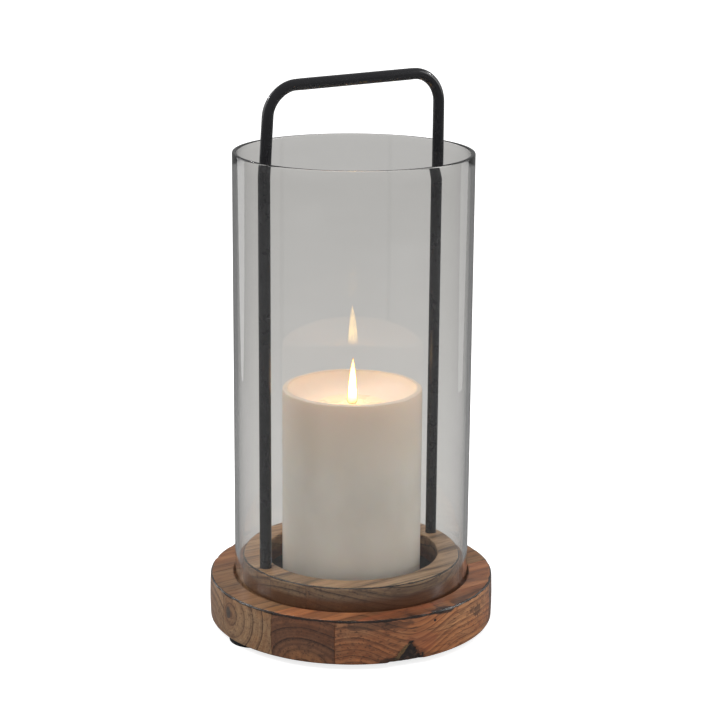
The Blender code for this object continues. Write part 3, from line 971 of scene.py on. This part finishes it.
def base():
    """The five boards of the disc, each with its own grain."""
    # The rounded top edge's painted dark reflection line, as (radius, z, width)
    edge = (DISC_RADIUS - 0.0004, DISC_TOP_Z - 0.0004, 0.0011)
    # top: each board's top tinted apart from its side, painted shade on boards 1, 3, 4 and 5,
    # painted light on board 2
    looks = (
        dict(
            pith=(-0.093, -0.026), spacing=0.0042, seed=1.7, sway=0.012, marks=front_board_marks_and_painted_light,
            dip=(-0.0174, 0.042, 0.013), early=(168, 119, 83), late=(94, 56, 38),
            blush=(0.98, 0.76, 0.62), top=(0.56, 0.50, 0.46),
        ),
        dict(
            pith=(-0.0625, -0.001), spacing=0.0078, seed=4.2, sway=0.007,
            early=(126, 86, 61), late=(74, 46, 35), blush=(0.94, 0.80, 0.70),
            core=(0.019, (150, 102, 66)), top=(1.90, 1.72, 1.42),
        ),
        dict(
            pith=END_PITH, spacing=0.0088, seed=8.9, sway=0.005, marks=end_grain_marks,
            early=(168, 134, 100), late=(104, 72, 50), blush=(0.98, 0.84, 0.72),
            top=(0.78, 0.68, 0.55),
        ),
        dict(
            pith=(0.038, -0.012), spacing=0.0066, seed=12.3, sway=0.009,
            early=(164, 128, 94), late=(98, 68, 48), blush=(0.96, 0.82, 0.72),
            top=(0.66, 0.60, 0.52),
        ),
        dict(
            pith=(0.075, 0.06), spacing=0.0058, seed=17.6, sway=0.01,
            early=(154, 112, 78), late=(88, 56, 38), blush=(0.98, 0.78, 0.66),
            top=(0.80, 0.74, 0.66),
        ),
    )
    disc = turned_mesh("disc", disc_profile(), steps=DISC_STEPS, shape=worn_disc)
    edges = (None, *BOARD_JOINTS_Y, None)
    for number, look in enumerate(looks, start=1):
        mesh = board_mesh(f"board_{number}", disc, edges[number - 1], edges[number])
        material = wood(f"wood_board_{number}", edge=edge, **look)
        board = piece(f"board_{number}", mesh, material, "base", [f"base_board_{number}"])
        if number == 3:
            cut(board, disc_holes())
    bpy.data.meshes.remove(disc)


def leg_places():
    """(x, y) of the handle's two legs."""
    return ((-LEG_X, 0.0), (LEG_X, 0.0))


def disc_holes():
    """Cutters for the counterbores and screw holes under the legs, and the plate's pilot hole."""
    under = DISC_BOTTOM_Z - 0.001
    over = HUB_TOP_Z + 0.001
    cutters = [cylinder_mesh(PILOT_RADIUS, HUB_TOP_Z - PILOT_DEPTH, over, (0.0, 0.0))]
    for place in leg_places():
        cutters.append(cylinder_mesh(COUNTERBORE_RADIUS, under, COUNTERBORE_TOP_Z, place))
        cutters.append(cylinder_mesh(SCREW_HOLE_RADIUS, under, over, place))
    return cutters


def collar():
    """The raised ring, with a softly uneven edge and the sockets for the legs."""
    outer = COLLAR_HIGH.x
    top = COLLAR_HIGH.z
    low = COLLAR_LOW.z
    shoulder = top - COLLAR_ROUND
    profile = arc((outer - COLLAR_ROUND, shoulder), COLLAR_ROUND, 90, 0, 6)
    inner = COLLAR_INNER_RADIUS
    run = between((outer, shoulder), 12, (outer, low), 4, (inner, low), 12, (inner, shoulder))
    profile += run[1:]
    profile += arc((inner + COLLAR_ROUND, shoulder), COLLAR_ROUND, 180, 90, 6)
    profile += between((inner + COLLAR_ROUND, top), 8, (outer - COLLAR_ROUND, top))[1:]

    def worn(x, y, z):
        out = sqrt(x * x + y * y)
        edge = step_up(z, top - 0.003, top)
        grow = -0.00022 * edge * max(0.0, ripple((x, y, z), 75.0, 2.0)) / out
        return (x * (1 + grow), y * (1 + grow), z + 0.00012 * edge * ripple((x, y, 0.0), 50.0, 5.0))

    mesh = turned_mesh("collar", profile, closed=True, steps=COLLAR_STEPS, shape=worn)
    # The collar's edge gets the painted dark reflection line, and its sides painted shade
    material = wood(
        "wood_collar", pith=(-0.03, -0.03), spacing=0.006, seed=22.4, sway=0.012,
        early=(192, 158, 122), late=(98, 68, 46), blush=(0.92, 0.80, 0.70),
        strips=COLLAR_JOINTS_Y, edge=(outer - 0.0003, top - 0.0003, 0.0007), wall=collar_wall_shade_and_band,
    )
    ring = piece("collar", mesh, material, "base", ["collar_ring"])
    sockets = []
    for place in leg_places():
        sockets.append(cylinder_mesh(ROD_RADIUS + GAP, ROD_LOW.z - GAP, top + 0.001, place))
        sockets.append(cylinder_mesh(SCREW_HOLE_RADIUS, low - 0.001, ROD_LOW.z, place))
    cut(ring, sockets)


def sleeve():
    """The glass tube, with its rims fire-polished round."""
    outer = GLASS_HIGH.x
    inner = outer - GLASS_WALL
    top = GLASS_HIGH.z - GLASS_ROUND
    bottom = GLASS_LOW.z + GLASS_ROUND
    profile = arc((outer - GLASS_ROUND, top), GLASS_ROUND, 90, 0, 6)
    profile += between((outer, top), 40, (outer, bottom))[1:]
    profile += arc((outer - GLASS_ROUND, bottom), GLASS_ROUND, 0, -90, 6)
    profile += arc((inner + GLASS_ROUND, bottom), GLASS_ROUND, -90, -180, 6)
    profile += between((inner, bottom), 40, (inner, top))[1:]
    profile += arc((inner + GLASS_ROUND, top), GLASS_ROUND, 180, 90, 6)

    def drawn(x, y, z):
        grow = 1 + 0.0004 * ripple((x, y, z), 11.0, 1.0)
        return (x * grow, y * grow, z)

    mesh = turned_mesh("sleeve", profile, closed=True, steps=GLASS_STEPS, shape=drawn)
    piece("sleeve", mesh, glass("clear_glass"), "glass", ["glass_sleeve"])


def hand_bent(x, z):
    """The rod's line as bent by hand: the left corner sits a little lower and further in."""
    left = step_up(-x, -LEG_X, LEG_X)
    lean = HANDLE_LEAN * left * step_up(z, BAR_Z - 0.065, BAR_Z)
    drop = HANDLE_DROP * (LEG_X - x) / (2 * LEG_X) * step_up(z, BAR_Z - BEND_RADIUS * 1.5, BAR_Z)
    return (x + lean, 0.0, z - drop)


def carrying_handle():
    """The bent rod, slightly flattened round its bends, with a tapped hole up each leg."""
    bend_x = LEG_X - BEND_RADIUS
    bend_z = BAR_Z - BEND_RADIUS
    right = arc((bend_x, bend_z), BEND_RADIUS, 0, 90, 28)
    left = [(-x, z) for x, z in reversed(right)]
    ends = ((LEG_X, ROD_LOW.z), (-LEG_X, ROD_LOW.z))
    line = between(ends[0], 40, right[0]) + right
    line += between(right[-1], 24, left[0])[1:] + left
    line += between(left[-1], 40, ends[1])[1:] + [ends[1]]
    path = [hand_bent(x, z) for x, z in line]

    def outline(angle, number):
        x, z = line[number]
        bent = step_up(z, bend_z - 0.004, bend_z + 0.006)
        bent *= step_up(abs(x), bend_x - 0.006, bend_x + 0.004)
        return 1 - 0.035 * bent * sin(angle) ** 2

    mesh = tube_mesh("rod", path, ROD_RADIUS, 48, outline)
    coat = powder_coat("black_rod", colour(30, 30, 33), 0.27, 0.5)
    rod = piece("rod", mesh, coat, "base", ["handle"])
    low = ROD_LOW.z - 0.001
    high = ROD_LOW.z + TAPPED_DEPTH
    cut(rod, [cylinder_mesh(SCREW_HOLE_RADIUS, low, high, place) for place in leg_places()])


def feet():
    """Round rubber pads, with a soft lower edge."""
    material = rubber("black_rubber")
    for node in FEET:
        low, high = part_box(node)
        centre = (low + high) / 2
        radius = (high.x - low.x) / 2
        soft = 0.0011
        profile = [(0.0, high.z), (radius * 0.5, high.z), (radius - 0.0003, high.z)]
        profile += [(radius, high.z - 0.0003)]
        profile += arc((radius - soft, low.z + soft), soft, 0, -90, 6)
        profile += [(radius * 0.5, low.z), (0.0, low.z)]
        mesh = turned_mesh(node + "_pad", profile, steps=96)
        mesh.transform(Matrix.Translation((centre.x, centre.y, 0.0)))
        piece(node + "_pad", mesh, material, "base", [node])


def dish_height(radius):
    """Height of the burned-down top at a radius: a level pool, then a bowl up to the lip."""
    lip = CANDLE_RADIUS - LIP_WIDTH
    if radius <= POOL_RADIUS:
        return POOL_Z
    share = (radius - POOL_RADIUS) / (lip - POOL_RADIUS)
    rise = 1 - sqrt(1 - BOWL_STEEPNESS * share * share)
    return POOL_Z + (CANDLE_HIGH.z - POOL_Z) * rise / (1 - sqrt(1 - BOWL_STEEPNESS))


def candle():
    """The wax pillar, its melted pool, its wick and its flame."""
    lip = CANDLE_RADIUS - LIP_WIDTH
    edge = (CANDLE_RADIUS - CANDLE_EDGE_ROUND, CANDLE_HIGH.z - CANDLE_EDGE_ROUND)
    foot = (CANDLE_RADIUS - CANDLE_BASE_ROUND, CANDLE_LOW.z + CANDLE_BASE_ROUND)
    profile = [(0.0, POOL_Z)]
    profile += [(POOL_RADIUS * step / 8, POOL_Z) for step in range(1, 8)]
    bowl_steps = 30
    for step in range(bowl_steps + 1):
        radius = POOL_RADIUS + (lip - POOL_RADIUS) * step / bowl_steps
        profile.append((radius, dish_height(radius)))
    profile += between((lip, CANDLE_HIGH.z), 3, (edge[0], CANDLE_HIGH.z))[1:]
    profile += arc(edge, CANDLE_EDGE_ROUND, 90, 0, 8)
    profile += between((CANDLE_RADIUS, edge[1]), 48, (CANDLE_RADIUS, foot[1]))[1:]
    profile += arc(foot, CANDLE_BASE_ROUND, 0, -90, 5)
    profile += [(CANDLE_RADIUS * 0.5, CANDLE_LOW.z), (0.0, CANDLE_LOW.z)]

    def melted(x, y, z):
        out = sqrt(x * x + y * y)
        if z > POOL_Z - 0.001 and out < CANDLE_RADIUS - 0.0002:
            rim = step_up(out, POOL_RADIUS * 0.9, CANDLE_RADIUS)
            sink = 0.0005 * ripple((x, y, 0.0), 38.0, 3.0) - 0.0005
            wave = 0.00022 * ripple((x, y, 0.0), 120.0, 7.0)
            wave *= step_up(out, POOL_RADIUS, POOL_RADIUS * 1.2)
            return (x, y, z + rim * sink + wave)
        if z < CANDLE_LOW.z + 0.0002:
            return (x, y, z)
        near_top = step_up(z, CANDLE_HIGH.z - 0.006, CANDLE_HIGH.z)
        grow = 1 + (0.00012 * ripple((x, y, z), 30.0, 8.0) - 0.00025 * near_top) / max(out, 0.001)
        sink = near_top * (0.0005 * ripple((x, y, 0.0), 38.0, 3.0) - 0.0005)
        return (x * grow, y * grow, z + sink)

    mesh = turned_mesh("wax_pillar", profile, shape=melted)
    piece("wax_pillar", mesh, wax("ivory_wax"), "candle", ["candle_body"])
    liquid()
    wick()
    flame()


def liquid():
    """The melted pool, which meets the bowl just above its floor."""
    top = POOL_Z + LIQUID_DEPTH
    inner = WICK_HIGH.x + 0.0002
    reach = POOL_RADIUS + 0.0022

    def shore(x, y, z):
        out = sqrt(x * x + y * y)
        wave = ripple((x / out, y / out, 0.0), 1.6, 2.0)
        grow = 1 + 0.05 * wave * step_up(out, reach * 0.5, reach)
        return (x * grow, y * grow, z)

    profile = [(inner, top + 0.0004), (inner + 0.0008, top + 0.0001)]
    profile += between((inner + 0.0016, top), 12, (reach - 0.0012, top))
    profile += arc((reach - 0.0012, top - 0.0004), 0.0004, 90, 0, 4)
    profile += [(reach - 0.001, POOL_Z - 0.0008), (inner, POOL_Z - 0.0008)]
    mesh = turned_mesh("wax_pool", profile, closed=True, steps=192, shape=shore)
    piece("wax_pool", mesh, melted_wax("melted_wax"), "candle")


def wick():
    """A plaited wick, leaning a little where it's charred."""
    steps = 150
    low = WICK_LOW.z
    high = WICK_HIGH.z
    path = []
    for step in range(steps + 1):
        z = low + (high - low) * step / steps
        lean = step_up(z, POOL_Z, high + 0.004) * 0.0012
        path.append((lean, 0.0, z))

    def outline(angle, number):
        plait = 0.10 * cos(3 * angle + number * 0.55)
        tip = 1 - 0.35 * step_up(number / steps, 0.985, 1.0)
        return (0.88 + plait) * tip

    mesh = tube_mesh("wick_plait", path, WICK_HIGH.x, 24, outline)
    piece("wick_plait", mesh, burnt_wick("cotton_wick"), "candle", ["wick"])


def flame_mesh(name, grow):
    """A teardrop flame, its sides moved out by grow."""
    steps = 40
    low = FLAME_LOW_Z - grow
    height = FLAME_HEIGHT + 3 * grow
    profile = [(0.0, low + height)]
    for step in range(steps - 1, 0, -1):
        share = step / steps
        width = (FLAME_HALF_WIDTH + grow) * (1 - share ** 2.0) ** 0.92
        width *= min(1.0, sqrt(share / 0.07)) ** 0.7
        profile.append((width, low + height * share))
    profile.append((0.0, low))

    def lean(x, y, z):
        share = (z - low) / height
        return (x + 0.0006 * share * share, y, z)

    return turned_mesh(name, profile, steps=64, shape=lean)


def flame():
    """The flame: a bright heart inside a thin orange rim."""
    for name, grow, material in (
        ("flame_heart", 0.0, flame_heart("flame_heart")),
        ("flame_rim", FLAME_EDGE, flame_rim("flame_rim")),
    ):
        shell = piece(name, flame_mesh(name, grow), material, "candle")
        shell.visible_diffuse = False
        shell.visible_shadow = False
    lamp = bpy.data.lights.new("flame_light", "POINT")
    lamp.energy = FLAME_LIGHT
    lamp.color = FLAME_LIGHT_COLOUR
    lamp.shadow_soft_size = FLAME_HALF_WIDTH
    made = added("flame_light", lamp)
    made.location = (0.0, 0.0, FLAME_LOW_Z + FLAME_HEIGHT * 0.4)
    made.visible_camera = False
    made.visible_glossy = False
    made.visible_transmission = False
    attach(made, "candle")


def carried_nodes():
    """Give the CAD nodes that show as they are their own materials."""
    plated = steel("plated_steel")
    plate = powder_coat("black_plate", colour(30, 28, 28), 0.48)
    for name in (*SCREWS, "handle_washer_left", "handle_washer_right", "plate_screw", "wick_clip"):
        set_material(name, plated)
    set_material("candle_plate", plate)


def set_material(node, material):
    """Put a material in a CAD node's own slots."""
    shown = frame["nodes"][node]
    if not shown.material_slots:
        shown.data.materials.append(material)
    for slot in shown.material_slots:
        slot.material = material


# ---- Floor, light and camera ----

def floor():
    """A pale light table: it glows to the eye, so shadows stay soft, and is grey in the glass."""
    half = 15.0
    corners = [(-half, -half, 0.0), (half, -half, 0.0), (half, half, 0.0), (-half, half, 0.0)]
    mesh = bpy.data.meshes.new("floor")
    mesh.from_pydata(corners, [], [(0, 1, 2, 3)])
    made = added("floor", mesh)
    look = Look("pale_floor")
    paper = look.noise(9.0, 3.0)
    seen = look.principled(
        Base_Color=look.mix(paper, grey(0.60), grey(0.62)),
        Roughness=0.9,
        Specular_IOR_Level=0.1,
        Emission_Color=grey(1.0),
        Emission_Strength=0.78,
    )
    dim = look.mix(paper, (0.46, 0.455, 0.445, 1.0), (0.49, 0.485, 0.475, 1.0))
    through = look.add("BsdfDiffuse", {"Color": dim}).outputs[0]
    mirrored = look.add("BsdfDiffuse", {"Color": grey(0.24)}).outputs[0]
    path = look.add("LightPath").outputs
    gloss = look.sum("GREATER_THAN", path["Glossy Depth"], 0.5)
    shader = look.add("MixShader", {0: gloss, 1: through, 2: mirrored}).outputs[0]
    shader = look.add("MixShader", {0: path["Is Camera Ray"], 1: shader, 2: seen}).outputs[0]
    mesh.materials.append(look.show(shader))


def world():
    """A room that is white to look at straight, and grey in the glass and as a light."""
    look = Look("studio", bpy.data.worlds, "OutputWorld")
    path = look.add("LightPath").outputs
    mirrored = look.sum("GREATER_THAN", path["Glossy Depth"], 0.5)
    unseen = look.span(mirrored, 0.0, 1.0, ROOM_LIGHT, ROOM_MIRRORED)
    strength = look.span(path["Is Camera Ray"], 0.0, 1.0, unseen, ROOM_SEEN)
    white = {"Color": grey(1.0), "Strength": strength}
    bpy.context.scene.world = look.show(look.add("Background", white).outputs[0])


def around(azimuth, elevation, distance, centre):
    """A place seen from a centre: azimuth 0 is towards -Y, and it turns towards +X."""
    a, e = radians(azimuth), radians(elevation)
    return centre + distance * Vector((sin(a) * cos(e), -cos(a) * cos(e), sin(e)))


def softbox(name, azimuth, elevation, distance, size, power, mirrored):
    """A soft oval lamp that faces the object's middle."""
    lamp = bpy.data.lights.new(name, "AREA")
    lamp.shape = "ELLIPSE"
    lamp.size, lamp.size_y = size
    lamp.energy = power
    made = added(name, lamp)
    made.location = around(CAMERA_AZIMUTH + azimuth, elevation, distance, LAMPS_FACE)
    made.rotation_mode = "QUATERNION"
    made.rotation_quaternion = (made.location - LAMPS_FACE).to_track_quat("Z", "Y")
    made.visible_camera = False
    made.visible_transmission = False
    made.visible_glossy = mirrored


def overhead():
    """An even, very soft light from above, as from a wide ceiling panel."""
    lamp = bpy.data.lights.new("ceiling", "SUN")
    lamp.energy = CEILING_LIGHT
    lamp.angle = radians(70)
    made = added("ceiling", lamp)
    made.rotation_mode = "QUATERNION"
    made.rotation_quaternion = Vector((-0.25, 0.15, 1.0)).to_track_quat("Z", "Y")
    made.visible_glossy = False


def camera():
    """The camera, above the candle's top and to the left of the handle's plane."""
    data = bpy.data.cameras.new("camera")
    data.lens = CAMERA_LENS
    data.sensor_width = 36.0
    data.shift_y = CAMERA_SHIFT_Y
    data.clip_end = 60.0
    made = added("camera", data)
    made.location = around(CAMERA_AZIMUTH, CAMERA_ELEVATION, CAMERA_DISTANCE, CAMERA_AIM)
    aim = (made.location - CAMERA_AIM).to_track_quat("Z", "Y")
    made.rotation_mode = "QUATERNION"
    made.rotation_quaternion = aim @ Matrix.Rotation(CAMERA_ROLL, 3, "Z").to_quaternion()
    bpy.context.scene.camera = made


base()
collar()
sleeve()
carrying_handle()
feet()
candle()
carried_nodes()
floor()
world()
overhead()
for lamp in LAMPS:
    softbox(*lamp)
camera()
bpy.context.scene.view_settings.view_transform = "Standard"
